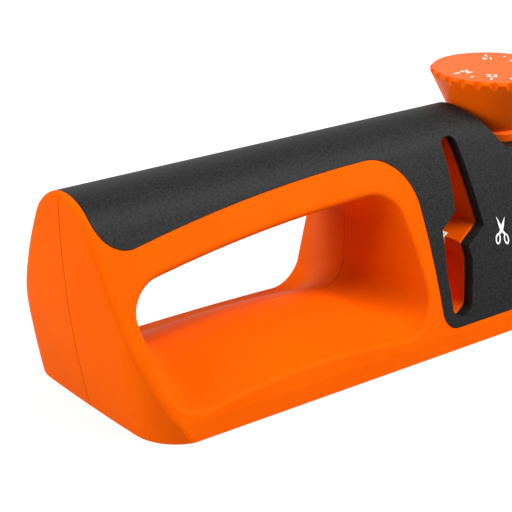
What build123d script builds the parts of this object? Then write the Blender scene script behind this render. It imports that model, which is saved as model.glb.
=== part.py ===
from build123d import *
import math
import os

# Overall size of the sharpener, in millimetres. X runs along the length, Z is up, Y is across.
HALF_LENGTH = 117.0          # end face to centre, at the top of the leaning end
HEIGHT = 60.0                # crest of the handle above the table
FLOOR_Z = 0.4                # underside of the shells, held off the table by the feet
HALF_WIDTH = 33.2            # half width of the skirt at the table
SKIRT_FLARE = 0.8            # the skirt is this much narrower at its top
SKIRT_HALF = HALF_WIDTH - SKIRT_FLARE
SKIRT_Z = 5.0                # top of the skirt
CREST_R = 15.0               # radius of the crest
CREST_SPAN = 60.0            # degrees of crest arc on each side

# Reach of the cutting tools past the body.
REACH_X = HALF_LENGTH + 8.0
REACH_Y = HALF_WIDTH + 8.0
REACH_Z = HEIGHT + 15.0

# The ends lean outwards and bulge in plan. Each row: height, distance inside HALF_LENGTH, bulge.
END_ROWS = [(0.0, 6.7, 0.8), (28.0, 1.7, 1.8), (HEIGHT + 2.0, 0.0, 2.4)]
END_PLAN_HALF = HALF_WIDTH + 0.5
END_CORNER_R = 13.0
END_EDGE_R = 2.0
RIM_R = 1.6                  # rounding of the finger opening's front rim
REAR_RIM_R = 1.2

# Thickness of the pieces, and gaps between them.
COVER_T = 3.0
WALL_T = 2.2
COVER_GAP = 0.2              # gap around the cover and under it
PARTING_GAP = 0.2            # visible line between the two shells
SLOT_RELIEF = 0.35           # the cover's slots are this much wider than the shells'
INSET = COVER_T + COVER_GAP + WALL_T

# Finger opening: outlines from in front of the body to behind it, narrowest at the mid-plane.
# Its lower edge drops away to the rear, so that the fingers roll out over a low rear rim.
# Each row: y, gap to the end (bottom, top), right x, bottom z (left, middle, right),
# drop of the upper edge below the crest (left, middle, right), corner radius
OPENING_Y = HALF_WIDTH + 2.8
OPENING_ROWS = [
    (-OPENING_Y, 15.0, 5.0, -17.6, 5.0, 9.6, 4.8, 17.0, 10.6, 9.0, 12.0),
    (-OPENING_Y * 4 / 9, 15.5, 7.8, -21.6, 10.8, 14.2, 10.8, 22.8, 16.4, 15.0, 8.5),
    (0.0, 17.5, 13.0, -24.5, 12.0, 15.6, 12.0, 26.5, 20.6, 19.4, 8.0),
    (OPENING_Y * 4 / 9, 16.5, 8.6, -21.0, 6.0, 8.6, 5.8, 22.8, 16.4, 15.0, 7.5),
    (OPENING_Y, 18.0, 8.5, -16.8, 1.9, 2.2, 1.9, 17.0, 10.6, 9.0, 9.0),
]
OPENING_MID = 53.0           # highest point of both edges, from the end

# Hollows that keep the walls even: the head, the bar over the opening and the bar under it.
HEAD_X0 = -11.0
HEAD_X1 = HALF_LENGTH - 12.0
HEAD_LEDGE = 3.5             # the head's hollow is narrower at the base plate
BAR_X0 = -HALF_LENGTH + 18.0
BAR_X1 = -21.0
BAR_Z = 45.6
SILL_X0 = -HALF_LENGTH + 19.0
SILL_X1 = -24.0
SILL = [(-26.5, -1), (12, -1), (12, 3.6), (6, 6.6), (0, 9.2), (-10, 8.4), (-26.5, 3.4)]

# Side view of the cover: its lower edge follows an arc along the handle.
COVER_END = 2.1              # cover short of the body's ends
COVER_EDGE_DROP = (13.88, 7.43, 6.06)   # arc below the crest: left end, middle, head
COVER_HEAD_X = -13.8
COVER_FOOT_Z = 6.4
COVER_RIGHT_X = 99.5         # where the right edge starts to rise towards the end
COVER_RIGHT_Z = (30.0, 54.5)
COVER_LEFT_R = 8.7
COVER_HEAD_R = 14.0
COVER_FOOT_R = 5.0
COVER_RISE_R = 8.0

# The knob stands on this axis.
KNOB_X = 32.5

# Scissors slot, a kinked outline in the side view, clockwise from its upper left corner.
SLOT_TOP = HEIGHT - 5.4
SLOT_LOW = 12.0              # corners below this height form the rounded lower end
SLOT_END_R = 2.0
SLOT_KINK_R = 0.8
SCISSOR_SLOT = [
    (0.6, SLOT_TOP), (5.4, SLOT_TOP), (6.2, 46.0), (7.1, 31.0), (-0.3, 27.0), (0.1, 23.0),
    (-3.2, 11.0), (-7.0, 8.8), (-9.7, 10.8), (-9.5, 22.0), (-7.9, 32.3), (-1.5, 36.3), (0.2, 47.0),
]
TUNNEL_T = 2.0

# Knife slots.
KNIFE_PITCH = 16.0
KNIFE_FIRST = 27.0           # first slot to the right of the knob axis
KNIFE_X = [KNOB_X + KNIFE_FIRST + KNIFE_PITCH * i for i in range(3)]
KNIFE_W = 5.0
KNIFE_BOTTOM = 24.0
KNIFE_FLARE_Z = HEIGHT - 9.0
KNIFE_FLARE_W = 9.0

# Knob recess in the cover.
RECESS_R = 17.4
RECESS_FLOOR = 48.7
RECESS_T = 2.4
COLLAR_BORE_R = 12.0

# Knob.
KNOB_TOP_Z = 68.1
KNOB_TOP_R = 18.7
KNOB_RIM_H = 1.0
KNOB_NECK_R = 10.6
KNOB_NECK_Z = 51.4
KNOB_RING_R = 11.6
KNOB_RING_H = 8.2
KNOB_BEVEL = 0.7
KNOB_WALL = 2.0
KNOB_ROOF = 2.6              # under the dial cap
SCALLOPS = 24
SCALLOP_R = 1.5
SCALLOP_DEPTH = 0.85
CAP_R = 15.6
CAP_T = 1.4

# Spindle and its bearings.
THREAD_R = 4.0
LOWER_R = 3.0
LOWER_Z = 3.4
SHOULDER_Z = 8.6
COLLAR_R = 6.0
COLLAR_Z = 33.4
PLATE_Z = 37.0
PLATE_T = 3.0
PLATE_LEFT = 16.0            # from the knob axis
PLATE_RIGHT = 13.4           # short of the nearest arm at its widest angle
DRIVE = 5.6                  # square drive across flats
SPINDLE_TOP = 60.6
RUNNING = 0.05               # radial clearance of round running fits
DRIVE_GAP = 0.09
SOCKET_R = 5.4               # outside of the knob's drive socket
SPRING_R = (5.8, 7.4)        # inside and outside of the return spring

# Abrasive arms: each pair crosses on one pin.
PIVOT_Z = 20.0
PIVOT_R = 1.5
ARM_T = 4.0
ARM_GAP = 0.6                # arm face to the mid-plane
ARM_ANGLE = 20.0             # degrees from vertical in the rest pose
ARM_LENGTH = 24.0
ARM_OUTER = 3.0
ARM_INNER = 0.5
ARM_BEVEL = 1.6
STONE_T = 2.0
STONE_LENGTH = 15.0
STONE_START = 7.5
LEVER = 5.8
LEVER_W = 3.4
EYE_W = 3.8
EYE_PLAY = 0.8               # length of the slotted eye, for the peg's sideways shift
PEG_R = 1.1
HUB_R = 3.2

# Lifter and carrier.
LIFT_PLATE_Y = 6.0
LIFT_PLATE_T = 2.0
LIFT_WEB_Z = 10.0
LIFT_WEB_T = 2.4
LIFT_TOP = 23.4
LIFT_NUT_H = 9.0
LIFT_OUTER = LIFT_PLATE_Y + LIFT_PLATE_T
PIN_SLOT_R = PIVOT_R + 0.5
PIN_SLOT_HALF = 1.0
DIP_R = 5.0                  # dips under the knife slots
DIP_RISE = 3.2
CARRIER_Y = 9.4
CARRIER_T = 2.4
CARRIER_FLOOR_T = 2.4
CARRIER_TOP = 23.6
CARRIER_X0 = KNOB_X - 10.0
CARRIER_X1 = 104.0
CARRIER_OUTER = CARRIER_Y + CARRIER_T
CHEEK_END = 9.0
STEP_R = 7.5

# Underside. Under the handle the plate is narrower to the rear, where the rim is low.
BASE_T = 2.0
BASE_X = HALF_LENGTH - 10.0
BASE_Y = HALF_WIDTH - 6.2
BASE_REAR_Y = 18.5
BASE_HEAD_X = -14.0
BASE_CORNER_R = 8.0
BASE_TOP = FLOOR_Z + BASE_T
FOOT_R = 5.0
FOOT_H = 1.6
FOOT_POS = [(sx * 88.0, sy * 12.0) for sx in (-1, 1) for sy in (-1, 1)]

# Screws: those under the base, those through the rear shell and those in the carrier.
BOSS_R = 3.4
BOSS_TOP = 14.0
SILL_BOSS_TOP = 6.6
SCREW_R = 1.3
HEAD_R = 2.6
HEAD_T = 1.3
HEAD_GAP = 0.2
HEAD_CROSS = 0.55            # size of the cross recess, as part of the head
CROSS_W = 0.6
BASE_SCREWS = [(sx, sy * y) for sx, y in ((-60.0, 15.0), (16.0, 22.6), (97.0, 21.5)) for sy in (-1, 1)]
SHELL_SCREWS = [(-HALF_LENGTH + 7.2, 25.0), (-10.6, 38.0), (HALF_LENGTH - 9.0, 25.0)]
SHELL_SCREW_R = 1.1
SHELL_HEAD_R = 2.2
SHELL_HEAD_Y = 14.0
SHELL_TIP_Y = -10.0
CARRIER_SCREWS = [(47.0, 0.0), (100.6, -6.0), (100.6, 6.0)]
CARRIER_SCREW_R = 1.1
CARRIER_HEAD_R = 2.2
KNOB_SCREW_HEAD_R = 3.4
KNOB_SCREW_HEAD_T = 2.0
KNOB_SCREW_L = 8.0

# Ceramic rods at the two corners of the scissors slot's kink.
SCISSOR_RODS = [(-2.0, 37.1), (0.4, 26.2)]
SCISSOR_ROD_R = 1.6
SCISSOR_ROD_HALF = 16.0

# Detent wheel on the spindle and the leaf spring that clicks into it.
DETENT_R = 9.0
DETENT_Z = 25.5
DETENT_T = 4.0
DETENT_NOTCHES = 15
NOTCH_R = 1.3
NOTCH_AT = 9.1
LEAF_T = 0.4
LEAF_HALF = 10.0
POST_W = 3.0
POST_Y = (-12.5, -9.5)

os.makedirs("parts", exist_ok=True)


def save(shape, name):
    export_step(shape, os.path.join("parts", name + ".step"))


def side_arc():
    """Start and middle of the side arc that leaves the crest arc without a corner."""
    y0 = CREST_R * math.sin(math.radians(CREST_SPAN))
    z0 = HEIGHT - CREST_R + CREST_R * math.cos(math.radians(CREST_SPAN))
    ny = -math.sin(math.radians(CREST_SPAN))
    nz = -math.cos(math.radians(CREST_SPAN))
    dy = SKIRT_HALF - y0
    dz = SKIRT_Z - z0
    radius = (dy * dy + dz * dz) / (2 * (dy * ny + dz * nz))
    cy = y0 + ny * radius
    cz = z0 + nz * radius
    my = (y0 + SKIRT_HALF) / 2 - cy
    mz = (z0 + SKIRT_Z) / 2 - cz
    k = radius / math.hypot(my, mz)
    return y0, z0, cy + my * k, cz + mz * k


def tent_face(inset=0.0):
    """Cross-section of the body: rounded crest, gently curved sides and a short skirt."""
    y0, z0, ym, zm = side_arc()
    with BuildSketch(Plane.YZ) as sk:
        with BuildLine():
            ThreePointArc((-y0, z0), (0, HEIGHT), (y0, z0))
            ThreePointArc((y0, z0), (ym, zm), (SKIRT_HALF, SKIRT_Z))
            Line((SKIRT_HALF, SKIRT_Z), (HALF_WIDTH, FLOOR_Z))
            Line((HALF_WIDTH, FLOOR_Z), (-HALF_WIDTH, FLOOR_Z))
            Line((-HALF_WIDTH, FLOOR_Z), (-SKIRT_HALF, SKIRT_Z))
            ThreePointArc((-SKIRT_HALF, SKIRT_Z), (-ym, zm), (-y0, z0))
        make_face()
        if inset:
            offset(amount=-inset, kind=Kind.INTERSECTION)
    return sk.sketch


def tent(inset, x0=-REACH_X, x1=REACH_X):
    """Solid with the body's cross-section, drawn in by inset, from x0 to x1."""
    return Pos(x0, 0, 0) * extrude(tent_face(inset), amount=x1 - x0, dir=(1, 0, 0))


def side_prism(points):
    """Prism across the body with a closed outline in the side view."""
    with BuildSketch(Plane.XZ) as sk:
        with BuildLine():
            Polyline(*points, close=True)
        make_face()
    return extrude(sk.sketch, amount=REACH_Y, both=True)


def box(x0, x1, y0, y1, z0, z1):
    return Pos((x0 + x1) / 2, (y0 + y1) / 2, (z0 + z1) / 2) * Box(x1 - x0, y1 - y0, z1 - z0)


def rod_z(x, y, r, z0, z1):
    return Pos(x, y, (z0 + z1) / 2) * Cylinder(r, z1 - z0)


def rod_y(x, z, r, y0=-REACH_Y, y1=REACH_Y):
    return Pos(x, (y0 + y1) / 2, z) * Rot(90, 0, 0) * Cylinder(r, y1 - y0)


def plan_face(z, lean, bulge):
    """Plan outline of the body at height z: rounded corners and bulging ends."""
    x = HALF_LENGTH - lean
    y = END_PLAN_HALF
    with BuildSketch(Plane.XY.offset(z)) as sk:
        with BuildLine():
            ThreePointArc((x - bulge, -y), (x, 0), (x - bulge, y))
            Line((x - bulge, y), (bulge - x, y))
            ThreePointArc((bulge - x, y), (-x, 0), (bulge - x, -y))
            Line((bulge - x, -y), (x - bulge, -y))
        make_face()
        fillet(sk.vertices(), END_CORNER_R)
    return sk.sketch


def outer_body():
    """The whole outside shape, before anything is cut out of it."""
    body = tent(0.0) & loft([plan_face(*row) for row in END_ROWS])
    arch = []
    for e in body.edges():
        b = e.bounding_box()
        if b.max.Z > HEIGHT / 3 and b.size.X < HALF_LENGTH / 5:
            arch.append(e)
    return fillet(arch, END_EDGE_R)


def opening_face(y, gap_low, gap_top, right, bl, bm, br, dl, dm, dr, r):
    """One outline of the finger opening, an arched quadrilateral with rounded corners."""
    xb = gap_low - HALF_LENGTH
    xt = gap_top - HALF_LENGTH
    xm = OPENING_MID - HALF_LENGTH
    with BuildSketch(Plane.XZ.offset(-y)) as sk:
        with BuildLine():
            ThreePointArc((xb, bl), (xm, bm), (right, br))
            Line((right, br), (right, HEIGHT - dr))
            ThreePointArc((right, HEIGHT - dr), (xm, HEIGHT - dm), (xt, HEIGHT - dl))
            Line((xt, HEIGHT - dl), (xb, bl))
        make_face()
        fillet(sk.vertices(), r)
    return sk.sketch


def finger_opening():
    """Flared hollow for the fingers."""
    return loft([opening_face(*row) for row in OPENING_ROWS])


def cover_outline(grow=0.0):
    """Side view of the black cover: along the handle, down over the head and up at the right end."""
    x0 = COVER_END - HALF_LENGTH
    x1 = HALF_LENGTH - COVER_END
    top = HEIGHT + 6.0
    left, mid, head = [HEIGHT - d for d in COVER_EDGE_DROP]
    corners = [(x0, left, COVER_LEFT_R), (COVER_HEAD_X, head, COVER_HEAD_R),
               (COVER_HEAD_X, COVER_FOOT_Z, COVER_FOOT_R), (COVER_RIGHT_X, COVER_FOOT_Z, COVER_FOOT_R),
               (COVER_RIGHT_X, COVER_RIGHT_Z[0], COVER_HEAD_R), (x1, COVER_RIGHT_Z[1], COVER_RISE_R)]
    with BuildSketch(Plane.XZ) as sk:
        with BuildLine():
            ThreePointArc((x0, left), ((x0 + COVER_HEAD_X) / 2, mid), (COVER_HEAD_X, head))
            Polyline(*[(x, z) for x, z, r in corners[1:]], (x1, top), (x0, top), (x0, left))
        make_face()
        for x, z, r in corners:
            fillet(sk.vertices().sort_by_distance((x, z, 0))[0], r)
        if grow:
            offset(amount=grow, kind=Kind.INTERSECTION)
    return extrude(sk.sketch, amount=REACH_Y, both=True)


def scissor_slot(grow=0.0):
    """Kinked prism of the scissors slot, with round ends."""
    with BuildSketch(Plane.XZ) as sk:
        with BuildLine():
            Polyline(*SCISSOR_SLOT, close=True)
        make_face()
        if grow:
            offset(amount=grow, kind=Kind.INTERSECTION)
        ends = [v for v in sk.vertices() if v.Y > SLOT_TOP - 1 or v.Y < SLOT_LOW]
        kinks = [v for v in sk.vertices() if SLOT_LOW <= v.Y <= SLOT_TOP - 1]
        fillet(ends, SLOT_END_R)
        fillet(kinks, SLOT_KINK_R)
    return extrude(sk.sketch, amount=REACH_Y, both=True)


def knife_slots(grow=0.0):
    """Three slots open at the crest, rounded at the bottom and flared at the mouth."""
    w = KNIFE_W / 2 + grow
    f = KNIFE_FLARE_W / 2 + grow
    low = KNIFE_BOTTOM + KNIFE_W / 2
    top = HEIGHT + 2
    cuts = []
    for x in KNIFE_X:
        cuts.append(rod_y(x, low, w))
        cuts.append(side_prism([(x - w, low), (x + w, low), (x + w, KNIFE_FLARE_Z), (x + f, top),
                                (x - f, top), (x - w, KNIFE_FLARE_Z)]))
    return cuts


def recess(grow):
    """Round hollow for the knob; the cup around it is the same hollow, grown by its wall."""
    return rod_z(KNOB_X, 0, RECESS_R + grow, RECESS_FLOOR - grow, REACH_Z)


def make_cover():
    skin = (cover_outline() & tent(0.0)) - tent(COVER_T)
    cover = skin + (tent(0.0, KNOB_X - RECESS_R - 5, KNOB_X + RECESS_R + 5) & recess(RECESS_T))
    cover -= recess(0.0)
    cover -= rod_z(KNOB_X, 0, COLLAR_BORE_R, RECESS_FLOOR - RECESS_T - 1, RECESS_FLOOR + 1)
    cover -= scissor_slot(SLOT_RELIEF)
    for cut in knife_slots(SLOT_RELIEF):
        cover -= cut
    return cover


def head_cavity():
    """Hollow of the head that holds the mechanism, open towards the base."""
    hollow = tent(INSET, HEAD_X0, HEAD_X1)
    half = BASE_Y - HEAD_LEDGE
    hollow += box(HEAD_X0, CARRIER_X1 + 0.5, -half, half, -1.0, SKIRT_Z + INSET)
    return hollow - scissor_slot(TUNNEL_T)


def boss_top(x):
    return BOSS_TOP if x > HEAD_X0 else SILL_BOSS_TOP


def rim_edges(shape, side):
    """Edges of the finger opening's rim on the front (-1) or the rear (1) of the body."""
    edges = []
    for e in shape.edges():
        b = e.bounding_box()
        along = b.min.X > 3.0 - HALF_LENGTH and b.max.X < 0
        if along and b.min.Z > FLOOR_Z + 0.5 and min(side * b.min.Y, side * b.max.Y) > 0:
            edges.append(e)
    return edges


def make_core(body):
    """The orange body as one solid, hollow inside, with seats for cover, base and mechanism."""
    core = fillet(rim_edges(body - finger_opening(), -1), RIM_R)
    core = fillet(rim_edges(core, 1), REAR_RIM_R)
    core -= cover_outline(COVER_GAP) - tent(COVER_T + COVER_GAP)
    core -= recess(RECESS_T + COVER_GAP)
    core -= rod_z(KNOB_X, 0, COLLAR_BORE_R, PLATE_Z + PLATE_T, RECESS_FLOOR)
    core -= head_cavity()
    core -= tent(INSET, BAR_X0, BAR_X1) & box(BAR_X0, BAR_X1, -HALF_WIDTH, HALF_WIDTH, BAR_Z, HEIGHT)
    with BuildSketch(Plane.YZ) as sk:
        Polygon(*SILL, align=None)
    core -= Pos(SILL_X0, 0, 0) * extrude(sk.sketch, amount=SILL_X1 - SILL_X0, dir=(1, 0, 0))
    core -= base_outline(COVER_GAP, -1.0, BASE_TOP)
    for x, y in BASE_SCREWS:
        core += rod_z(x, y, BOSS_R, BASE_TOP, boss_top(x))
        core -= rod_z(x, y, SCREW_R, BASE_TOP - 1, boss_top(x) - 1.5)
    for x, z in SHELL_SCREWS:
        if HEAD_X0 - BOSS_R < x < HEAD_X1:
            core += rod_y(x, z, BOSS_R, SHELL_TIP_Y - 2, SHELL_HEAD_Y)
        core -= rod_y(x, z, SHELL_HEAD_R + HEAD_GAP, SHELL_HEAD_Y)
        core -= rod_y(x, z, SHELL_SCREW_R, SHELL_TIP_Y, SHELL_HEAD_Y)
    core -= scissor_slot()
    for x, z in SCISSOR_RODS:
        core -= rod_y(x, z, SCISSOR_ROD_R, -SCISSOR_ROD_HALF, SCISSOR_ROD_HALF)
    for cut in knife_slots():
        core -= cut
    return core


def base_outline(grow, z0, z1):
    """Base plate's outline: full width under the head, short of the rear rim under the handle."""
    r = BASE_CORNER_R
    with BuildSketch(Plane.XY.offset(z0)) as sk:
        with BuildLine():
            Polyline((-BASE_X, -BASE_Y), (BASE_X, -BASE_Y), (BASE_X, BASE_Y), (BASE_HEAD_X, BASE_Y),
                     (BASE_HEAD_X, BASE_REAR_Y), (-BASE_X, BASE_REAR_Y), close=True)
        make_face()
        fillet([v for v in sk.vertices() if abs(v.X) > BASE_X - 1], r)
        fillet([v for v in sk.vertices() if abs(v.X - BASE_HEAD_X) < 1], r / 4)
        if grow:
            offset(amount=grow, kind=Kind.INTERSECTION)
    return extrude(sk.sketch, amount=z1 - z0)


def screw_z(x, y, r, head_r, z1):
    """Pan-head screw pointing up from the base's underside, with a cross recess in its head."""
    head_z = FLOOR_Z + HEAD_T
    c = head_r * HEAD_CROSS
    w = CROSS_W / 2
    top = FLOOR_Z + HEAD_T * HEAD_CROSS
    s = rod_z(x, y, head_r, FLOOR_Z, head_z) + rod_z(x, y, r, head_z, z1)
    s -= box(x - c, x + c, y - w, y + w, -1, top)
    return s - box(x - w, x + w, y - c, y + c, -1, top)


def screw_y(x, z):
    """Screw that pulls the rear shell to the front one."""
    head = rod_y(x, z, SHELL_HEAD_R, SHELL_HEAD_Y, SHELL_HEAD_Y + HEAD_T)
    return head + rod_y(x, z, SHELL_SCREW_R, SHELL_TIP_Y, SHELL_HEAD_Y)


def make_bottom_plate():
    plate = base_outline(0.0, FLOOR_Z, BASE_TOP)
    for x, y in FOOT_POS:
        plate -= rod_z(x, y, FOOT_R, -1, FOOT_H)
    sizes = [(p, SCREW_R, HEAD_R) for p in BASE_SCREWS]
    sizes += [(p, CARRIER_SCREW_R, CARRIER_HEAD_R) for p in CARRIER_SCREWS]
    for (x, y), r, head_r in sizes:
        plate -= rod_z(x, y, head_r + HEAD_GAP, -1, FLOOR_Z + HEAD_T)
        plate -= rod_z(x, y, r + HEAD_GAP, -1, BASE_TOP + 1)
    return plate


def make_carrier():
    """Fixed frame of the mechanism: floor, two cheeks for the pins and the spindle's lower bearing."""
    c = box(CARRIER_X0, CARRIER_X1, -CARRIER_OUTER, CARRIER_OUTER, BASE_TOP, BASE_TOP + CARRIER_FLOOR_T)
    for s in (-1, 1):
        y0, y1 = sorted((s * CARRIER_Y, s * CARRIER_OUTER))
        c += box(KNIFE_X[0] - CHEEK_END, KNIFE_X[2] + CHEEK_END, y0, y1, BASE_TOP, CARRIER_TOP)
    c += rod_z(KNOB_X, 0, STEP_R, BASE_TOP, SHOULDER_Z)
    c -= rod_z(KNOB_X, 0, LOWER_R + RUNNING, BASE_TOP - 1, SHOULDER_Z + 1)
    for x in KNIFE_X:
        c -= rod_y(x, PIVOT_Z, PIVOT_R)
        c -= rod_y(x, CARRIER_TOP + DIP_RISE, DIP_R)
    for x, y in CARRIER_SCREWS:
        c -= rod_z(x, y, CARRIER_SCREW_R, 0, BASE_TOP + CARRIER_FLOOR_T + 1)
    return c


def make_lifter():
    """Channel that the spindle's thread raises and lowers; its pegs tilt all the arms together."""
    lo = KNIFE_X[0] - LEVER - 3
    hi = KNIFE_X[2] + LEVER + 3
    b = box(KNOB_X, hi, -LIFT_OUTER, LIFT_OUTER, LIFT_WEB_Z, LIFT_WEB_Z + LIFT_WEB_T)
    for s in (-1, 1):
        y0, y1 = sorted((s * LIFT_PLATE_Y, s * LIFT_OUTER))
        b += box(lo, hi, y0, y1, LIFT_WEB_Z, LIFT_TOP)
    b += rod_z(KNOB_X, 0, LIFT_OUTER, LIFT_WEB_Z, LIFT_WEB_Z + LIFT_NUT_H)
    b -= rod_z(KNOB_X, 0, THREAD_R + RUNNING, LIFT_WEB_Z - 1, LIFT_WEB_Z + LIFT_NUT_H + 1)
    for x in KNIFE_X:
        for z in (PIVOT_Z - PIN_SLOT_HALF, PIVOT_Z + PIN_SLOT_HALF):
            b -= rod_y(x, z, PIN_SLOT_R)
        b -= box(x - PIN_SLOT_R, x + PIN_SLOT_R, -REACH_Y, REACH_Y,
                 PIVOT_Z - PIN_SLOT_HALF, PIVOT_Z + PIN_SLOT_HALF)
        b -= rod_y(x, LIFT_TOP + DIP_RISE, DIP_R)
        for s in (-1, 1):
            b -= rod_y(x + s * LEVER, PIVOT_Z, PEG_R)
    return b


def arm_point(x, side, along, across):
    """Point on an arm: along it from the pin, and across it towards the blade."""
    a = math.radians(ARM_ANGLE)
    return (x + side * (along * math.sin(a) - across * math.cos(a)),
            PIVOT_Z + along * math.cos(a) + across * math.sin(a))


def layer(sketch, side):
    """Thicken a side-view sketch into the front layer (left arms) or rear layer (right arms)."""
    y = ARM_GAP if side > 0 else -ARM_GAP - ARM_T
    return Pos(0, y, 0) * extrude(sketch, amount=ARM_T, dir=(0, 1, 0))


def make_arm(x, side):
    """Arm with a hub on the pin, a bar for the stone and a lever with a slotted eye for the peg."""
    bar = [(0, -ARM_OUTER), (ARM_LENGTH - ARM_BEVEL, -ARM_OUTER), (ARM_LENGTH, ARM_BEVEL - ARM_OUTER),
           (ARM_LENGTH, ARM_INNER), (0, ARM_INNER)]
    with BuildSketch(Plane.XZ) as sk:
        with BuildLine():
            Polyline(*[arm_point(x, side, s, d) for s, d in bar], close=True)
        make_face()
        with Locations((x, PIVOT_Z)):
            Circle(HUB_R)
        with Locations((x + side * LEVER / 2, PIVOT_Z)):
            Rectangle(LEVER, LEVER_W)
        with Locations((x + side * LEVER, PIVOT_Z)):
            SlotCenterToCenter(EYE_PLAY, EYE_W)
        with Locations((x, PIVOT_Z)):
            Circle(PIVOT_R + RUNNING, mode=Mode.SUBTRACT)
        with Locations((x + side * LEVER, PIVOT_Z)):
            SlotCenterToCenter(EYE_PLAY, 2 * (PEG_R + RUNNING), mode=Mode.SUBTRACT)
    return layer(sk.sketch, side)


def make_stone(x, side):
    s0 = STONE_START
    s1 = STONE_START + STONE_LENGTH
    d0 = ARM_INNER
    d1 = ARM_INNER + STONE_T
    with BuildSketch(Plane.XZ) as sk:
        with BuildLine():
            Polyline(*[arm_point(x, side, s, d) for s, d in ((s0, d0), (s1, d0), (s1, d1), (s0, d1))], close=True)
        make_face()
    return layer(sk.sketch, side)


def revolved(points):
    """Solid of revolution about the knob axis from (radius, z) points."""
    with BuildSketch(Plane.XZ) as sk:
        with BuildLine():
            Polyline(*points, close=True)
        make_face()
    return Pos(KNOB_X, 0, 0) * revolve(sk.sketch, axis=Axis.Z)


def tube(r0, r1, z0, z1):
    return revolved([(r0, z0), (r1, z0), (r1, z1), (r0, z1)])


def make_spindle():
    """Stepped spindle: lower journal, thread, collar under the bearing plate and a square drive."""
    step = SHOULDER_Z + RUNNING
    collar = PLATE_Z - 2 * RUNNING
    top = PLATE_Z + PLATE_T + 0.5
    s = revolved([(0, LOWER_Z), (LOWER_R, LOWER_Z), (LOWER_R, step), (THREAD_R, step), (THREAD_R, COLLAR_Z),
                  (COLLAR_R, COLLAR_Z), (COLLAR_R, collar), (THREAD_R, collar), (THREAD_R, top), (0, top)])
    h = DRIVE / 2
    s += box(KNOB_X - h, KNOB_X + h, -h, h, top, SPINDLE_TOP)
    return s - rod_z(KNOB_X, 0, SCREW_R, SPINDLE_TOP - KNOB_SCREW_L - 1, SPINDLE_TOP + 1)


def knob_roof_z():
    return KNOB_TOP_Z - CAP_T - KNOB_ROOF


def make_knob():
    """Flared knob: scalloped rim, cone, lower ring, hollow underside and a square drive socket."""
    ring_z = KNOB_NECK_Z - KNOB_RING_H
    rim_z = KNOB_TOP_Z - KNOB_RIM_H
    below = ring_z - 1
    roof = knob_roof_z()
    k = revolved([(0, ring_z), (KNOB_RING_R, ring_z), (KNOB_RING_R, KNOB_NECK_Z - KNOB_BEVEL),
                  (KNOB_RING_R - KNOB_BEVEL, KNOB_NECK_Z), (KNOB_NECK_R, KNOB_NECK_Z), (KNOB_TOP_R, rim_z),
                  (KNOB_TOP_R, KNOB_TOP_Z - KNOB_BEVEL), (KNOB_TOP_R - KNOB_BEVEL, KNOB_TOP_Z), (0, KNOB_TOP_Z)])
    slope = (KNOB_TOP_R - KNOB_NECK_R) / (rim_z - KNOB_NECK_Z)
    inner = KNOB_NECK_R - KNOB_WALL
    k -= revolved([(SOCKET_R, below), (inner, below), (inner, KNOB_NECK_Z + 1),
                   (inner + slope * (roof - KNOB_NECK_Z - 1), roof), (SOCKET_R, roof)])
    h = DRIVE / 2 + DRIVE_GAP
    k -= box(KNOB_X - h, KNOB_X + h, -h, h, below, SPINDLE_TOP + 1)
    k -= rod_z(KNOB_X, 0, KNOB_SCREW_HEAD_R + 0.8, SPINDLE_TOP, KNOB_TOP_Z)
    k -= rod_z(KNOB_X, 0, CAP_R, KNOB_TOP_Z - CAP_T, KNOB_TOP_Z + 1)
    r = KNOB_TOP_R + SCALLOP_R - SCALLOP_DEPTH
    for i in range(SCALLOPS):
        a = 2 * math.pi * i / SCALLOPS
        k -= rod_z(KNOB_X + r * math.cos(a), r * math.sin(a), SCALLOP_R, roof - 2, KNOB_TOP_Z + 1)
    return k


def make_bearing_plate():
    """Upper spindle bearing, wedged between the shells, with two posts that hold the leaf spring."""
    x0 = KNOB_X - PLATE_LEFT
    x1 = KNOB_X + PLATE_RIGHT
    top = PLATE_Z + PLATE_T
    p = tent(INSET + RUNNING, x0, x1) & box(x0, x1, -HALF_WIDTH, HALF_WIDTH, PLATE_Z, top)
    p -= rod_z(KNOB_X, 0, THREAD_R + RUNNING, PLATE_Z - 1, top + 1)
    for s in (-1, 1):
        xa, xb = sorted((KNOB_X + s * LEAF_HALF, KNOB_X + s * (LEAF_HALF + POST_W)))
        p += box(xa, xb, POST_Y[0], POST_Y[1], DETENT_Z - 0.5, PLATE_Z)
    return p


def make_detent_wheel():
    """Notched wheel pressed onto the spindle."""
    top = DETENT_Z + DETENT_T
    w = rod_z(KNOB_X, 0, DETENT_R, DETENT_Z, top)
    w -= rod_z(KNOB_X, 0, THREAD_R, DETENT_Z - 1, top + 1)
    for i in range(DETENT_NOTCHES):
        a = math.radians(-90 + i * 360.0 / DETENT_NOTCHES)
        w -= rod_z(KNOB_X + NOTCH_AT * math.cos(a), NOTCH_AT * math.sin(a), NOTCH_R, DETENT_Z - 1, top + 1)
    return w


def make_leaf():
    """Leaf spring with a bent nose that sits in a notch of the detent wheel."""
    line = [(-LEAF_HALF, -11.0), (-1.6, -10.4), (-0.5, -8.45), (0.5, -8.45), (1.6, -10.4), (LEAF_HALF, -11.0)]
    with BuildSketch(Plane.XY.offset(DETENT_Z + 0.5)) as sk:
        with BuildLine():
            Polyline(*[(KNOB_X + x, y) for x, y in line])
        trace(line_width=LEAF_T)
    strip = extrude(sk.sketch, amount=DETENT_T - 1.0)
    return strip & box(KNOB_X - LEAF_HALF, KNOB_X + LEAF_HALF, -14, -6, DETENT_Z - 1, DETENT_Z + DETENT_T + 1)


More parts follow.
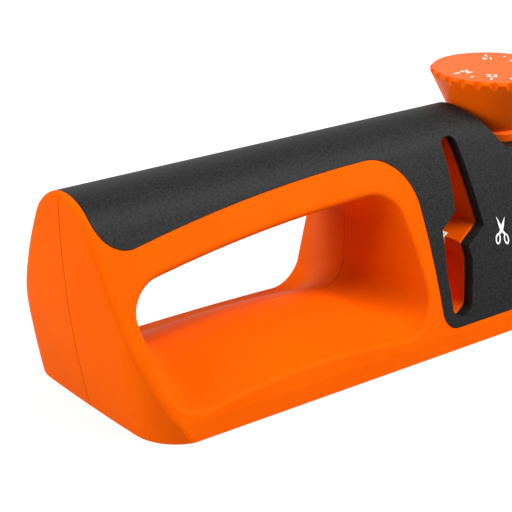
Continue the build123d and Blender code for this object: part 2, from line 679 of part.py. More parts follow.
core = make_core(outer_body())
half_gap = PARTING_GAP / 2
save(core & box(-REACH_X, REACH_X, -REACH_Y, -half_gap, -5, REACH_Z), "front_shell")
save(core & box(-REACH_X, REACH_X, half_gap, REACH_Y, -5, REACH_Z), "rear_shell")
save(make_cover(), "top_cover")
save(make_bottom_plate(), "bottom_plate")
save(Compound([rod_z(x, y, FOOT_R, 0, FOOT_H) for x, y in FOOT_POS]), "rubber_feet")
save(Compound([screw_z(x, y, SCREW_R, HEAD_R, boss_top(x) - 1.8) for x, y in BASE_SCREWS]), "base_screws")
carrier_tip = BASE_TOP + CARRIER_FLOOR_T
save(Compound([screw_z(x, y, CARRIER_SCREW_R, CARRIER_HEAD_R, carrier_tip) for x, y in CARRIER_SCREWS]),
     "carrier_screws")
save(Compound([screw_y(x, z) for x, z in SHELL_SCREWS]), "shell_screws")
save(make_carrier(), "arm_carrier")
save(Compound([rod_y(x, PIVOT_Z, PIVOT_R, -CARRIER_OUTER, CARRIER_OUTER) for x in KNIFE_X]), "pivot_pins")
save(make_bearing_plate(), "bearing_plate")
save(make_leaf(), "detent_spring")
save(Compound([rod_y(x, z, SCISSOR_ROD_R, -SCISSOR_ROD_HALF, SCISSOR_ROD_HALF) for x, z in SCISSOR_RODS]),
     "scissor_rods")
save(make_spindle(), "spindle")
save(make_detent_wheel(), "detent_wheel")
save(rod_z(KNOB_X, 0, KNOB_SCREW_HEAD_R, SPINDLE_TOP, SPINDLE_TOP + KNOB_SCREW_HEAD_T)
     + rod_z(KNOB_X, 0, SCREW_R, SPINDLE_TOP - KNOB_SCREW_L, SPINDLE_TOP), "knob_screw")
save(make_knob(), "knob")
save(tube(SPRING_R[0], SPRING_R[1], PLATE_Z + PLATE_T, knob_roof_z()), "knob_spring")
save(rod_z(KNOB_X, 0, CAP_R, KNOB_TOP_Z - CAP_T, KNOB_TOP_Z), "dial_cap")
save(make_lifter(), "lifter")
save(Compound([rod_y(x + s * LEVER, PIVOT_Z, PEG_R, -LIFT_OUTER, LIFT_OUTER)
               for x in KNIFE_X for s in (-1, 1)]), "lifter_pegs")
for stage, x in zip(("coarse", "medium", "fine"), KNIFE_X):
    for name, side in (("left", -1), ("right", 1)):
        save(make_arm(x, side), stage + "_arm_" + name)
        save(make_stone(x, side), stage + "_stone_" + name)
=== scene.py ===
# %% [markdown]
# A table-top sharpener for knives and scissors. The solid model carries every rigid shape: two orange shells with a
# finger opening, a black grained cover, a press-and-turn knob and the tilting abrasive arms inside. This notebook
# loads those solids and dresses them: it gives each one the finish of its real material, adds the printed marks, the
# abrasive grit and the winding of the hidden spring, and sets up the light and the camera.

# %% Load the solids
import math

import bmesh
import bpy
from mathutils import Matrix, Vector
from mathutils.bvhtree import BVHTree


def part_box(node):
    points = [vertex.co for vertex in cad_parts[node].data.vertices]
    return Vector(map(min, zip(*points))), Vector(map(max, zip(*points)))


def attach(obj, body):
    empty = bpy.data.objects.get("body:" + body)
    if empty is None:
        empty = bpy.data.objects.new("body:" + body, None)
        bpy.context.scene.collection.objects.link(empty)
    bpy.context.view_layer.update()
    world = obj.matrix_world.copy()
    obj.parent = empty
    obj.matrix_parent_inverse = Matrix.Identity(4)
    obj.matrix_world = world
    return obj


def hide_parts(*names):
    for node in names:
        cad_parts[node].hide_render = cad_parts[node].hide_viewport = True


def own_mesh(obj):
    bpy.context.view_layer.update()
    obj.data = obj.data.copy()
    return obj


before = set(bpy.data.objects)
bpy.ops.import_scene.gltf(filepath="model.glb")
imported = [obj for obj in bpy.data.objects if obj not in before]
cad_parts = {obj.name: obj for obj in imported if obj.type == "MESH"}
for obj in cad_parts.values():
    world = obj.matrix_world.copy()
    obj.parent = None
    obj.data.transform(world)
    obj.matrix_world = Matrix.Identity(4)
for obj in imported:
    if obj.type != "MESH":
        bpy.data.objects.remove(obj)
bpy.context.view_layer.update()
MM = 0.001

# %% [markdown]
# Every shader and geometry tree below is a set of nodes with settings and links, so one small helper adds any of
# them. Its inputs are either plain values or another node's output. Colours are written as the sRGB hex values that a
# paint chart would give, and turned to linear light by one function. Two more helpers turn a pattern's value into a
# colour or a number, because every finish below does that.

# %% Helpers for node trees and colours
def node(tree, kind, inputs=None, **settings):
    made = tree.nodes.new(kind)
    for key, value in settings.items():
        setattr(made, key, value)
    for key, value in (inputs or {}).items():
        if isinstance(value, bpy.types.NodeSocket):
            tree.links.new(value, made.inputs[key])
        else:
            made.inputs[key].default_value = value
    return made


def linear(hex_colour):
    parts = [int(hex_colour[i:i + 2], 16) / 255 for i in (1, 3, 5)]
    return tuple(p / 12.92 if p <= 0.04045 else ((p + 0.055) / 1.055) ** 2.4 for p in parts) + (1.0,)


def scale_for(size_mm):
    """Texture scale whose pattern repeats about every size_mm on Object coordinates, which are in metres."""
    return 1.0 / (size_mm * MM)


def new_material(name):
    material = bpy.data.materials.new(name)
    material.use_nodes = True
    tree = material.node_tree
    tree.nodes.clear()
    place = node(tree, "ShaderNodeTexCoord").outputs["Object"]
    return material, tree, place


def close_material(tree, shader):
    node(tree, "ShaderNodeOutputMaterial", {"Surface": shader.outputs[0]})


def ramp(tree, pattern, low, high, start=0.3, end=0.7):
    """A colour that runs from low to high while a pattern's value runs from start to end."""
    made = node(tree, "ShaderNodeValToRGB", {"Fac": pattern})
    for element, position, colour in zip(made.color_ramp.elements, (start, end), (low, high)):
        element.position = position
        element.color = linear(colour)
    return made.outputs["Color"]


def spread(tree, pattern, low, high, start=0.3, end=0.7):
    """A number that runs from low to high while a pattern's value runs from start to end."""
    made = node(tree, "ShaderNodeMapRange", {"Value": pattern, "From Min": start, "From Max": end,
                                             "To Min": low, "To Max": high})
    return made.outputs["Result"]


print("middle grey in linear light:", round(linear("#808080")[0], 3))

# %% [markdown]
# The shells and the knob are satin ABS, injection moulded in a bright orange. Their reflections are weak and tinted,
# so the colour stays deep at every angle, and the eye sees a faint unevenness that a perfect computer surface lacks.
# Two noise patterns give that: a broad one, the slow change in colour that cooling leaves, and a fine one, the mould's
# own polish marks.

# %% Orange ABS
ABS_IOR = 1.53


def moulded_abs(name, low, high, shine, polish_mm, polish_depth_mm, broad_mm=32.0, specular=0.5,
                glint="#FFFFFF"):
    material, tree, place = new_material(name)
    broad = node(tree, "ShaderNodeTexNoise", {"Vector": place, "Scale": scale_for(broad_mm), "Detail": 3.0})
    fine = node(tree, "ShaderNodeTexNoise", {"Vector": place, "Scale": scale_for(polish_mm), "Detail": 4.0,
                                             "Roughness": 0.6})
    bump = node(tree, "ShaderNodeBump", {"Height": fine.outputs["Fac"], "Strength": 0.5,
                                         "Distance": polish_depth_mm * MM})
    close_material(tree, node(tree, "ShaderNodeBsdfPrincipled", {
        "Base Color": ramp(tree, broad.outputs["Fac"], low, high),
        "Roughness": spread(tree, fine.outputs["Fac"], shine - 0.05, shine + 0.05),
        "Normal": bump.outputs["Normal"], "IOR": ABS_IOR, "Specular IOR Level": specular,
        "Specular Tint": linear(glint)}))
    return material


WARM_GLINT = "#FFB27A"
ORANGE = moulded_abs("satin_abs_orange", "#E65803", "#EC5E04", 0.5, 0.9, 0.012, specular=0.015, glint=WARM_GLINT)
KNOB_ORANGE = moulded_abs("satin_abs_orange_knob", "#E65703", "#EC5D04", 0.42, 0.8, 0.01, specular=0.1,
                          glint=WARM_GLINT)

# %% [markdown]
# The cover is black ABS whose mould was spark eroded, which leaves a fine, even grain of shallow pits. The grain takes
# away the mirror and leaves a broad grey sheen that is speckled, because the pits' floors shine less than the lands
# between them. A cell pattern makes the pits, and a noise breaks up their evenness and sets the sheen. Real pits are
# about 0.15 mm wide, and they are drawn at 0.3 mm, because finer ones vanish in the picture.

# %% Grained black ABS
def grained_black(name, low, high, pit_mm, depth_mm, shine, specular):
    material, tree, place = new_material(name)
    pits = node(tree, "ShaderNodeTexVoronoi", {"Vector": place, "Scale": scale_for(pit_mm), "Randomness": 1.0},
                feature="SMOOTH_F1")
    cloud = node(tree, "ShaderNodeTexNoise", {"Vector": place, "Scale": scale_for(pit_mm * 2.2), "Detail": 5.0,
                                              "Roughness": 0.7})
    height = node(tree, "ShaderNodeMath", {0: pits.outputs["Distance"], 1: cloud.outputs["Fac"]},
                  operation="MULTIPLY")
    bump = node(tree, "ShaderNodeBump", {"Height": height.outputs[0], "Strength": 0.8, "Distance": depth_mm * MM})
    close_material(tree, node(tree, "ShaderNodeBsdfPrincipled", {
        "Base Color": ramp(tree, cloud.outputs["Fac"], low, high, 0.32, 0.72),
        "Roughness": spread(tree, cloud.outputs["Fac"], shine - 0.06, shine + 0.06),
        "Normal": bump.outputs["Normal"], "IOR": ABS_IOR,
        "Specular IOR Level": spread(tree, cloud.outputs["Fac"], 0.7 * specular, 1.3 * specular, 0.38, 0.62)}))
    return material


COVER_BLACK = grained_black("spark_eroded_abs_black", "#0A0A0B", "#1E1E1F", 0.3, 0.06, 0.56, 0.11)

# %% [markdown]
# Inside, the carrier and the bearing plate are grey nylon, the base and the arms are plain black plastic, and the
# lifter is white acetal. They are made like the orange, with their own colours and shine. The feet are soft rubber,
# made like the cover, but rougher.

# %% Inner plastics and rubber
BASE_BLACK = moulded_abs("moulded_abs_black", "#161616", "#1D1D1E", 0.5, 0.6, 0.02, 20.0, 0.4)
FRAME_GREY = moulded_abs("glass_filled_nylon_grey", "#77787A", "#86878A", 0.55, 0.4, 0.02, 12.0)
LIFTER_WHITE = moulded_abs("acetal_white", "#DCDCD6", "#E8E8E2", 0.38, 0.7, 0.008, 18.0)
FOOT_RUBBER = grained_black("soft_rubber_black", "#141414", "#1E1E1E", 0.35, 0.06, 0.82, 0.25)

# %% [markdown]
# The metals are zinc-plated screws, ground pins and a tempered leaf. What tells the eye that a small part is metal is
# its lack of own colour, a reflection of the room, and fine scratches from how it was made. The scratches are a noise
# stretched along the part: round the axis on turned parts, along it on drawn ones.

# %% Metals
def worked_metal(name, low, high, shine, scratch_mm, stretch):
    material, tree, place = new_material(name)
    drawn = node(tree, "ShaderNodeMapping", {"Vector": place, "Scale": stretch})
    marks = node(tree, "ShaderNodeTexNoise", {"Vector": drawn.outputs["Vector"], "Scale": scale_for(scratch_mm),
                                              "Detail": 4.0})
    bump = node(tree, "ShaderNodeBump", {"Height": marks.outputs["Fac"], "Strength": 0.3, "Distance": 0.01 * MM})
    close_material(tree, node(tree, "ShaderNodeBsdfPrincipled", {
        "Base Color": ramp(tree, marks.outputs["Fac"], low, high),
        "Roughness": spread(tree, marks.outputs["Fac"], shine - 0.07, shine + 0.07),
        "Normal": bump.outputs["Normal"], "Metallic": 1.0}))
    return material


SCREW_ZINC = worked_metal("zinc_plated_steel", "#A9ABAE", "#C6C8CC", 0.36, 0.4, (1.0, 1.0, 1.0))
PIN_STEEL = worked_metal("ground_steel", "#B4B5B7", "#CFD0D2", 0.25, 0.3, (1.0, 0.08, 1.0))
SPRING_STEEL = worked_metal("tempered_spring_steel", "#8E9197", "#AEB1B6", 0.3, 0.3, (0.1, 1.0, 1.0))
LEAD_SCREW = worked_metal("turned_steel", "#9C9EA1", "#BFC1C4", 0.3, 0.5, (0.3, 0.3, 1.0))

# %% [markdown]
# The three pairs of abrasives differ: diamond grit bonded to steel for the coarse stage, tungsten carbide for the
# middle one and fired ceramic for the fine one. Grit shows as grey plates with bright and dark specks, so a cell
# pattern gives each speck its own grey. Ceramic is nearly even, with a faint warm mottling.

# %% Abrasives
def speckled(name, dark, light, speck_mm, shine, metallic, depth_mm):
    material, tree, place = new_material(name)
    specks = node(tree, "ShaderNodeTexVoronoi", {"Vector": place, "Scale": scale_for(speck_mm)})
    grey = node(tree, "ShaderNodeSeparateColor", {"Color": specks.outputs["Color"]})
    bump = node(tree, "ShaderNodeBump", {"Height": grey.outputs["Red"], "Strength": 0.7, "Distance": depth_mm * MM})
    close_material(tree, node(tree, "ShaderNodeBsdfPrincipled", {
        "Base Color": ramp(tree, grey.outputs["Red"], dark, light, 0.0, 1.0),
        "Roughness": spread(tree, grey.outputs["Green"], shine - 0.12, shine + 0.12, 0.0, 1.0),
        "Normal": bump.outputs["Normal"], "Metallic": metallic}))
    return material


DIAMOND = speckled("diamond_grit_on_steel", "#55575B", "#A6A9AE", 0.35, 0.42, 0.6, 0.05)
CARBIDE = speckled("ground_tungsten_carbide", "#6A6D72", "#8D9095", 0.2, 0.34, 0.9, 0.01)
CERAMIC = speckled("fired_ceramic_white", "#E4E0D6", "#F0EDE5", 0.25, 0.45, 0.0, 0.01)
PRINT_WHITE = moulded_abs("pad_print_white", "#ECECEA", "#F7F7F5", 0.5, 0.3, 0.004, 6.0)

# %% [markdown]
# Each solid keeps its own shape and only changes its material slots. A table from finish to pieces keeps that in one
# place, and a loop checks that no solid was forgotten.

# %% Give every solid its finish
FINISHES = [
    (ORANGE, ["front_shell", "rear_shell"]),
    (COVER_BLACK, ["top_cover"]),
    (KNOB_ORANGE, ["knob", "dial_cap"]),
    (BASE_BLACK, ["bottom_plate"]),
    (FRAME_GREY, ["arm_carrier", "bearing_plate"]),
    (FOOT_RUBBER, ["rubber_feet"]),
    (SCREW_ZINC, ["base_screws", "carrier_screws", "shell_screws", "knob_screw"]),
    (PIN_STEEL, ["pivot_pins", "lifter_pegs"]),
    (LEAD_SCREW, ["spindle"]),
    (SPRING_STEEL, ["detent_spring", "knob_spring"]),
    (LIFTER_WHITE, ["lifter", "detent_wheel"]),
    (BASE_BLACK, [stage + "_arm_" + side for stage in ("coarse", "medium", "fine") for side in ("left", "right")]),
    (DIAMOND, ["coarse_stone_left", "coarse_stone_right"]),
    (CARBIDE, ["medium_stone_left", "medium_stone_right"]),
    (CERAMIC, ["fine_stone_left", "fine_stone_right", "scissor_rods"]),
]
bare = set(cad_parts)
for material, names in FINISHES:
    for name in names:
        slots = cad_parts[name].data.materials
        slots.clear()
        slots.append(material)
        bare.discard(name)
print("finishes:", len(FINISHES), "solids without one:", sorted(bare))

# %% [markdown]
# The dial's scale repeats a short bar round the knob's top, one for each degree of blade angle from 14 to 24, and
# every second one is longer. Geometry Nodes suit this: one bar, placed by a rule on numbered points. The tree's inputs
# are the sizes that a printer of the dial would ask for.

# %% A node tree for the dial's bars
def add_socket(tree, name, kind, in_out="INPUT"):
    return tree.interface.new_socket(name, in_out=in_out, socket_type=kind)


def dial_tree():
    tree = bpy.data.node_groups.new("dial_bars", "GeometryNodeTree")
    add_socket(tree, "Count", "NodeSocketInt")
    for name in ("Radius", "First Angle", "Step Angle", "Length", "Width", "Thickness"):
        add_socket(tree, name, "NodeSocketFloat")
    add_socket(tree, "Ink", "NodeSocketMaterial")
    add_socket(tree, "Geometry", "NodeSocketGeometry", "OUTPUT")
    size = node(tree, "NodeGroupInput").outputs
    index = node(tree, "GeometryNodeInputIndex").outputs[0]
    turn = node(tree, "ShaderNodeMath", {0: index, 1: size["Step Angle"], 2: size["First Angle"]},
                operation="MULTIPLY_ADD").outputs[0]
    cos = node(tree, "ShaderNodeMath", {0: turn}, operation="COSINE").outputs[0]
    sin = node(tree, "ShaderNodeMath", {0: turn}, operation="SINE").outputs[0]
    x = node(tree, "ShaderNodeMath", {0: cos, 1: size["Radius"]}, operation="MULTIPLY").outputs[0]
    y = node(tree, "ShaderNodeMath", {0: sin, 1: size["Radius"]}, operation="MULTIPLY").outputs[0]
    at = node(tree, "ShaderNodeCombineXYZ", {"X": x, "Y": y}).outputs[0]
    points = node(tree, "GeometryNodePoints", {"Count": size["Count"], "Position": at, "Radius": 0.001})
    bar_size = node(tree, "ShaderNodeCombineXYZ", {"X": size["Length"], "Y": size["Width"], "Z": size["Thickness"]})
    bar = node(tree, "GeometryNodeMeshCube", {"Size": bar_size.outputs[0]})
    odd = node(tree, "ShaderNodeMath", {0: index, 1: 2.0}, operation="MODULO").outputs[0]
    shrink = node(tree, "ShaderNodeMath", {0: odd, 1: -0.5, 2: 1.0}, operation="MULTIPLY_ADD").outputs[0]
    scale = node(tree, "ShaderNodeCombineXYZ", {"X": shrink, "Y": 1.0, "Z": 1.0}).outputs[0]
    spin = node(tree, "ShaderNodeCombineXYZ", {"Z": turn}).outputs[0]
    bars = node(tree, "GeometryNodeInstanceOnPoints", {"Points": points.outputs[0], "Instance": bar.outputs[0],
                                                       "Rotation": spin, "Scale": scale})
    real = node(tree, "GeometryNodeRealizeInstances", {"Geometry": bars.outputs[0]})
    inked = node(tree, "GeometryNodeSetMaterial", {"Geometry": real.outputs[0], "Material": size["Ink"]})
    node(tree, "NodeGroupOutput", {"Geometry": inked.outputs[0]})
    return tree


def grown(name, tree, settings, source=None):
    """Run a geometry tree with named settings and return the result as a plain mesh object."""
    base = bpy.data.objects.new(name + "_grower", source or bpy.data.meshes.new(name + "_grower"))
    bpy.context.scene.collection.objects.link(base)
    modifier = base.modifiers.new("grow", "NODES")
    modifier.node_group = tree
    for item in tree.interface.items_tree:
        if item.item_type == "SOCKET" and item.in_out == "INPUT" and item.name in settings:
            modifier[item.identifier] = settings[item.name]
    evaluated = base.evaluated_get(bpy.context.evaluated_depsgraph_get())
    mesh = bpy.data.meshes.new_from_object(evaluated)
    mesh.name = name
    bpy.data.objects.remove(base)
    made = bpy.data.objects.new(name, mesh)
    bpy.context.scene.collection.objects.link(made)
    return made


# %% Print the dial's bars on the knob
cap_low, cap_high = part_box("dial_cap")
AXIS = (cap_low + cap_high) / 2
CAP_TOP = cap_high.z
CAP_RADIUS = (cap_high.x - cap_low.x) / 2
INK = 0.06 * MM
INK_Z = CAP_TOP + INK * 0.4
FIRST, LAST, REST = 14, 24, 20
KNOB_DEG = 24.0
INDEX_DEG = -90.0


def dial_angle(number):
    """Where a number stands on the cap at rest, so that it reaches the index when the knob is set to it."""
    return math.radians(INDEX_DEG - (number - REST) * KNOB_DEG)


dial_bars = grown("dial_bars", dial_tree(), {
    "Count": LAST - FIRST + 1, "Radius": CAP_RADIUS - 1.9 * MM, "First Angle": dial_angle(FIRST),
    "Step Angle": -math.radians(KNOB_DEG), "Length": 2.2 * MM, "Width": 0.55 * MM, "Thickness": INK,
    "Ink": PRINT_WHITE})
dial_bars.data.transform(Matrix.Translation((AXIS.x, AXIS.y, INK_Z)))
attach(dial_bars, "knob")
print("dial bars:", len(dial_bars.data.polygons), "faces")

# %% [markdown]
# The plain numbers of the scale are flat text, one for every second degree, with their feet towards the rim so that
# the one in front of the user stands upright. Text is a curve in Blender, so each number is made a mesh first and
# then moved to its place, and all of them are joined in one object.

# %% Print the dial's numbers
def text_mesh(words, height):
    curve = bpy.data.curves.new("number", "FONT")
    curve.body = words
    curve.size = height
    curve.align_x = "CENTER"
    curve.align_y = "CENTER"
    curve.extrude = INK / 2
    curve.resolution_u = 4
    carrier = bpy.data.objects.new("number", curve)
    bpy.context.scene.collection.objects.link(carrier)
    mesh = bpy.data.meshes.new_from_object(carrier.evaluated_get(bpy.context.evaluated_depsgraph_get()))
    bpy.data.objects.remove(carrier)
    return mesh


def joined(name, meshes, material):
    bm = bmesh.new()
    for mesh in meshes:
        bm.from_mesh(mesh)
    bmesh.ops.remove_doubles(bm, verts=bm.verts, dist=0.001 * MM)
    whole = bpy.data.meshes.new(name)
    bm.to_mesh(whole)
    bm.free()
    whole.materials.append(material)
    made = bpy.data.objects.new(name, whole)
    bpy.context.scene.collection.objects.link(made)
    return made


NUMBER_RADIUS = CAP_RADIUS - 5.3 * MM
NUMBER_SIZE = 3.6 * MM
numbers = []
for number in range(FIRST, LAST + 1, 2):
    angle = dial_angle(number)
    mesh = text_mesh(str(number), NUMBER_SIZE)
    at = Vector((AXIS.x + NUMBER_RADIUS * math.cos(angle), AXIS.y + NUMBER_RADIUS * math.sin(angle), INK_Z))
    mesh.transform(Matrix.Translation(at) @ Matrix.Rotation(angle + math.pi / 2, 4, "Z"))
    numbers.append(mesh)
dial_numbers = joined("dial_numbers", numbers, PRINT_WHITE)
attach(dial_numbers, "knob")
print("dial numbers:", len(numbers))

# %% [markdown]
# Two marks are printed on the cover's front slope: a plain scissors sign beside the kinked slot, and an arrow below
# the knob that the dial is read against. Each is drawn flat, as seen from the front, cut into small pieces and then
# laid on the cover by casting a ray from every corner to the surface, so that it follows the curve like ink.

# %% A way to lay flat drawings on the cover
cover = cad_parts["top_cover"].data
cover_tree = BVHTree.FromPolygons([v.co for v in cover.vertices], [p.vertices for p in cover.polygons])


def laid_on_cover(name, outlines, step_mm=0.6):
    """Closed outlines in mm as (x, z) lists, laid as ink on the front of the cover."""
    bm = bmesh.new()
    for outline in outlines:
        ring = [bm.verts.new((x * MM, 0.0, z * MM)) for x, z in outline]
        bm.faces.new(ring)
    bmesh.ops.triangulate(bm, faces=bm.faces)
    long_edges = [e for e in bm.edges if e.calc_length() > 2 * step_mm * MM]
    bmesh.ops.subdivide_edges(bm, edges=long_edges, cuts=2, use_grid_fill=True)
    bmesh.ops.triangulate(bm, faces=bm.faces)
    for face in bm.faces:
        if face.normal.y > 0:
            face.normal_flip()
    for vert in bm.verts:
        hit = cover_tree.ray_cast(Vector((vert.co.x, -0.2, vert.co.z)), Vector((0.0, 1.0, 0.0)))[0]
        vert.co.y = hit.y
    outer = bmesh.ops.extrude_face_region(bm, geom=list(bm.faces))
    lifted = {v for v in outer["geom"] if isinstance(v, bmesh.types.BMVert)}
    for vert in bm.verts:
        vert.co.y += -INK if vert in lifted else INK
    bmesh.ops.recalc_face_normals(bm, faces=bm.faces)
    mesh = bpy.data.meshes.new(name)
    bm.to_mesh(mesh)
    bm.free()
    mesh.materials.append(PRINT_WHITE)
    made = bpy.data.objects.new(name, mesh)
    bpy.context.scene.collection.objects.link(made)
    return made


def turned(points, degrees, centre):
    c, s = math.cos(math.radians(degrees)), math.sin(math.radians(degrees))
    return [(centre[0] + x * c - z * s, centre[1] + x * s + z * c) for x, z in points]


# %% Draw the scissors sign and the index arrow
SIGN = (13.6, 28.2)
SIGN_LEAN_DEG = -11.0
BLADE_OPEN_DEG = 22.0
BLADE_MM = 4.0
SHANK_DEG = 50.0
SHANK_MM = 1.5
RING_AT = (1.6, -2.3)
RING_MM = (0.95, 1.5)
RING_LEAN_DEG = 12.0
RING_BAND = 0.42
RING_SIDES = 24
ARROW_HALF_MM = 1.5
ARROW_Z_MM = (42.6, 45.6)


def oval(side, shrink):
    """Corners of one edge of a finger ring, an upright oval whose top leans to the pivot."""
    turns = [2 * math.pi * k / RING_SIDES for k in range(RING_SIDES + 1)]
    edge = [((RING_MM[0] - shrink) * math.cos(t), (RING_MM[1] - shrink) * math.sin(t)) for t in turns]
    return turned(edge, side * RING_LEAN_DEG, (side * RING_AT[0], RING_AT[1]))


def scissors_half(side):
    """A blade that leans to one side, and its shank, which crosses the pivot to the ring on the other side."""
    blade = [(-0.4, -0.5), (0.4, -0.5), (0.5, 1.0), (-side * 0.15, BLADE_MM), (-0.5, 1.0)]
    shank = [(0.36, 0.1), (-0.36, 0.1), (-0.3, -SHANK_MM), (0.3, -SHANK_MM)]
    parts = [turned(blade, side * BLADE_OPEN_DEG, (0, 0)), turned(shank, side * SHANK_DEG, (0, 0))]
    outer, inner = oval(side, 0.0), oval(side, RING_BAND)
    parts += [[outer[k], outer[k + 1], inner[k + 1], inner[k]] for k in range(RING_SIDES)]
    return [turned(part, SIGN_LEAN_DEG, SIGN) for part in parts]


scissors_sign = laid_on_cover("scissors_sign", scissors_half(-1) + scissors_half(1))
arrow_x = AXIS.x / MM
index_arrow = laid_on_cover("index_arrow", [[(arrow_x - ARROW_HALF_MM, ARROW_Z_MM[0]),
                                             (arrow_x + ARROW_HALF_MM, ARROW_Z_MM[0]), (arrow_x, ARROW_Z_MM[1])]])
for mark in (scissors_sign, index_arrow):
    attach(mark, "housing")
    print(mark.name, len(mark.data.polygons), "faces")

# %% [markdown]
# The coarse and middle abrasives carry real grit. Grains scattered over the faces, each turned and sized a little
# differently, catch the light as the bonded layer does. A Geometry Nodes tree scatters them with a fixed seed.
# Real grains are under 0.1 mm, and they are drawn at about twice that so that they show.

# %% Scatter the grit
def grit_tree():
    tree = bpy.data.node_groups.new("bonded_grit", "GeometryNodeTree")
    add_socket(tree, "Geometry", "NodeSocketGeometry")
    for name in ("Per Square Metre", "Grain Radius"):
        add_socket(tree, name, "NodeSocketFloat")
    add_socket(tree, "Seed", "NodeSocketInt")
    add_socket(tree, "Finish", "NodeSocketMaterial")
    add_socket(tree, "Geometry", "NodeSocketGeometry", "OUTPUT")
    size = node(tree, "NodeGroupInput").outputs
    spread = node(tree, "GeometryNodeDistributePointsOnFaces", {
        "Mesh": size["Geometry"], "Density": size["Per Square Metre"], "Seed": size["Seed"]})
    grain = node(tree, "GeometryNodeMeshIcoSphere", {"Radius": size["Grain Radius"], "Subdivisions": 1})
    turn = node(tree, "FunctionNodeRandomValue", {"Min": (0.0, 0.0, 0.0), "Max": (3.1, 3.1, 3.1),
                                                  "Seed": size["Seed"]}, data_type="FLOAT_VECTOR")
    stretch = node(tree, "FunctionNodeRandomValue", {"Min": (0.5, 0.5, 0.5), "Max": (1.0, 1.0, 1.0),
                                                     "Seed": size["Seed"]}, data_type="FLOAT_VECTOR")
    grains = node(tree, "GeometryNodeInstanceOnPoints", {
        "Points": spread.outputs["Points"], "Instance": grain.outputs[0], "Rotation": turn.outputs[0],
        "Scale": stretch.outputs[0]})
    real = node(tree, "GeometryNodeRealizeInstances", {"Geometry": grains.outputs[0]})
    coated = node(tree, "GeometryNodeSetMaterial", {"Geometry": real.outputs[0], "Material": size["Finish"]})
    node(tree, "NodeGroupOutput", {"Geometry": coated.outputs[0]})
    return tree


grit = grit_tree()
GRIT = [("coarse", DIAMOND, "diamond_grit", 1.1, 0.2), ("medium", CARBIDE, "carbide", 1.1, 0.13)]
for stage, material, slot, per_mm2, radius_mm in GRIT:
    for seed, side in enumerate(("left", "right")):
        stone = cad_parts[stage + "_stone_" + side].data
        grains = grown(stage + "_grit_" + side, grit, {
            "Per Square Metre": per_mm2 / MM ** 2, "Grain Radius": radius_mm * MM, "Seed": seed + 3,
            "Finish": material}, stone.copy())
        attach(grains, stage + "_" + side)
        print(grains.name, len(grains.data.polygons), "faces")

# %% [markdown]
# The return spring sits unseen between the spindle and the knob. Its solid is a sleeve that fills the coil's space,
# and here it becomes a wound wire: a spiral of points joined by a round bevel, whose end turns lie closer together.

# %% Wind the return spring
spring_low, spring_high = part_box("knob_spring")
WIRE = 0.9 * MM
COIL_TURNS = 9
COIL_STEPS = 20
COIL_GAP = 0.05 * MM
END_CLOSING = 0.06
coil_radius = (spring_high.x - spring_low.x) / 2 - WIRE / 2 - COIL_GAP
coil_rise = spring_high.z - spring_low.z - WIRE
curve = bpy.data.curves.new("return_spring", "CURVE")
curve.dimensions = "3D"
curve.bevel_depth = WIRE / 2
curve.bevel_resolution = 2
curve.use_fill_caps = True
line = curve.splines.new("POLY")
line.points.add(COIL_TURNS * COIL_STEPS)
for i, point in enumerate(line.points):
    share = i / (COIL_TURNS * COIL_STEPS)
    eased = share - END_CLOSING * math.sin(2 * math.pi * share)
    angle = 2 * math.pi * i / COIL_STEPS
    point.co = (AXIS.x + coil_radius * math.cos(angle), AXIS.y + coil_radius * math.sin(angle),
                spring_low.z + WIRE / 2 + coil_rise * eased, 1.0)
wound = bpy.data.objects.new("return_spring_wire", curve)
bpy.context.scene.collection.objects.link(wound)
mesh = bpy.data.meshes.new_from_object(wound.evaluated_get(bpy.context.evaluated_depsgraph_get()))
bpy.data.objects.remove(wound)
mesh.materials.clear()
mesh.materials.append(SPRING_STEEL)
return_spring = bpy.data.objects.new("return_spring", mesh)
bpy.context.scene.collection.objects.link(return_spring)
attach(return_spring, "spindle")
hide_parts("knob_spring")
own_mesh(return_spring)
print("spring turns:", COIL_TURNS, "faces:", len(mesh.polygons))

# %% [markdown]
# The stage is a plain floor under soft studio light. Its own colour is grey, so it throws little light back on the
# object, and it glows strongly for the camera and for reflections alone, so that it catches the object's shadow and
# still runs into the white background. The world's light is plain white too, at full strength only where the camera
# or a reflection looks straight at it.

# %% Floor and world
FLOOR_HALF = 3.0
FLOOR_GREY = "#9C9C9C"
FLOOR_GLOW = 0.8
AMBIENT = 0.12
floor_mesh = bpy.data.meshes.new("studio_floor")
floor_mesh.from_pydata([(-FLOOR_HALF, -FLOOR_HALF, 0), (FLOOR_HALF, -FLOOR_HALF, 0), (FLOOR_HALF, FLOOR_HALF, 0),
                        (-FLOOR_HALF, FLOOR_HALF, 0)], [], [(0, 1, 2, 3)])
floor = bpy.data.objects.new("studio_floor", floor_mesh)
bpy.context.scene.collection.objects.link(floor)


def seen_directly(tree):
    """1 for rays that show the background itself: camera, mirror and glass rays."""
    path = node(tree, "ShaderNodeLightPath").outputs
    either = node(tree, "ShaderNodeMath", {0: path["Is Camera Ray"], 1: path["Is Glossy Ray"]}, operation="MAXIMUM")
    return node(tree, "ShaderNodeMath", {0: either.outputs[0], 1: path["Is Transmission Ray"]},
                operation="MAXIMUM").outputs[0]


paper = bpy.data.materials.new("white_paper_sweep")
paper.use_nodes = True
tree = paper.node_tree
tree.nodes.clear()
lit = node(tree, "ShaderNodeBsdfDiffuse", {"Color": linear(FLOOR_GREY)})
strength = node(tree, "ShaderNodeMath", {0: seen_directly(tree), 1: FLOOR_GLOW}, operation="MULTIPLY")
glow = node(tree, "ShaderNodeEmission", {"Color": linear("#FFFFFF"), "Strength": strength.outputs[0]})
close_material(tree, node(tree, "ShaderNodeAddShader", {0: lit.outputs[0], 1: glow.outputs[0]}))
floor_mesh.materials.append(paper)

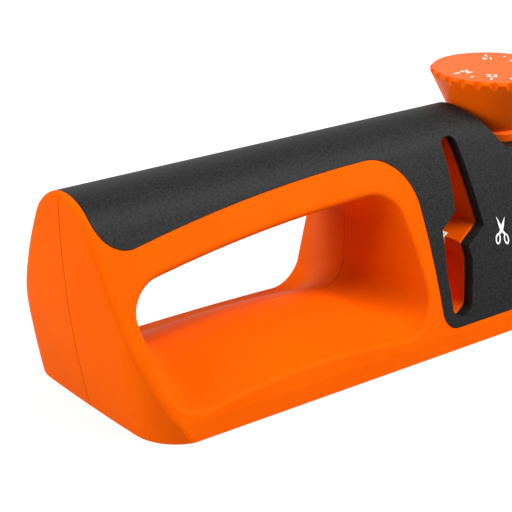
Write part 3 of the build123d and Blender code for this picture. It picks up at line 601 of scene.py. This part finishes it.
world = bpy.data.worlds.new("soft_studio")
bpy.context.scene.world = world
world.use_nodes = True
tree = world.node_tree
tree.nodes.clear()
level = node(tree, "ShaderNodeMapRange", {"Value": seen_directly(tree), "To Min": AMBIENT, "To Max": 1.0})
sky = node(tree, "ShaderNodeBackground", {"Color": linear("#FFFFFF"), "Strength": level.outputs["Result"]})
node(tree, "ShaderNodeOutputWorld", {"Surface": sky.outputs[0]})
print("ambient level:", AMBIENT)

# %% [markdown]
# Large lamps make soft shadows. The key stands high in front and to the right, so that walls which face left inside
# the slots and the opening fall dark, as they do in the photograph. A second lamp lights the left end and a weak one
# behind lights the crest. An area lamp of P watts lights a facing white card at a distance r to P / (pi r)^2, so the
# watts are worked out from the brightness wanted there.

# %% Lamps
TARGET = Vector((-0.02, 0.0, 0.03))


def softbox(name, place, size, card):
    """A square lamp that aims at the object and lights a facing white card to the given brightness."""
    lamp = bpy.data.lights.new(name, "AREA")
    lamp.shape = "SQUARE"
    lamp.size = size
    reach = (Vector(place) - TARGET).length
    lamp.energy = card * math.pi * math.pi * reach ** 2
    made = bpy.data.objects.new(name, lamp)
    made.location = place
    made.rotation_euler = (TARGET - Vector(place)).to_track_quat("-Z", "Y").to_euler()
    bpy.context.scene.collection.objects.link(made)
    print(name, round(lamp.energy, 2), "W")


softbox("key_softbox", (0.6, -0.8, 1.1), 0.7, 1.45)
softbox("left_softbox", (-1.1, 0.1, 0.5), 0.7, 1.02)
softbox("back_softbox", (0.2, 0.8, 0.9), 0.7, 0.15)

# %% [markdown]
# The camera stands where the photograph was taken from. Its place and focal length were worked out from the object's
# straight edges: about 37 degrees round to the left of the front and 21 degrees above the table.

# %% Camera and view
FOCAL_PX = 1559.0
FRAME_PX = 512.0
VIEW_DEG = (37.51, 21.40)
CAMERA_MM = (-297.3, -314.2, 184.4)
camera_data = bpy.data.cameras.new("photo_camera")
camera_data.sensor_width = 36.0
camera_data.lens = FOCAL_PX / FRAME_PX * camera_data.sensor_width
camera_data.clip_start = 0.01
camera = bpy.data.objects.new("photo_camera", camera_data)
camera.location = Vector(CAMERA_MM) * MM
camera.rotation_euler = (math.radians(90.0 - VIEW_DEG[1]), 0.0, -math.radians(VIEW_DEG[0]))
bpy.context.scene.collection.objects.link(camera)
bpy.context.scene.camera = camera
bpy.context.scene.view_settings.view_transform = "Standard"
print("lens:", round(camera_data.lens, 1), "mm")
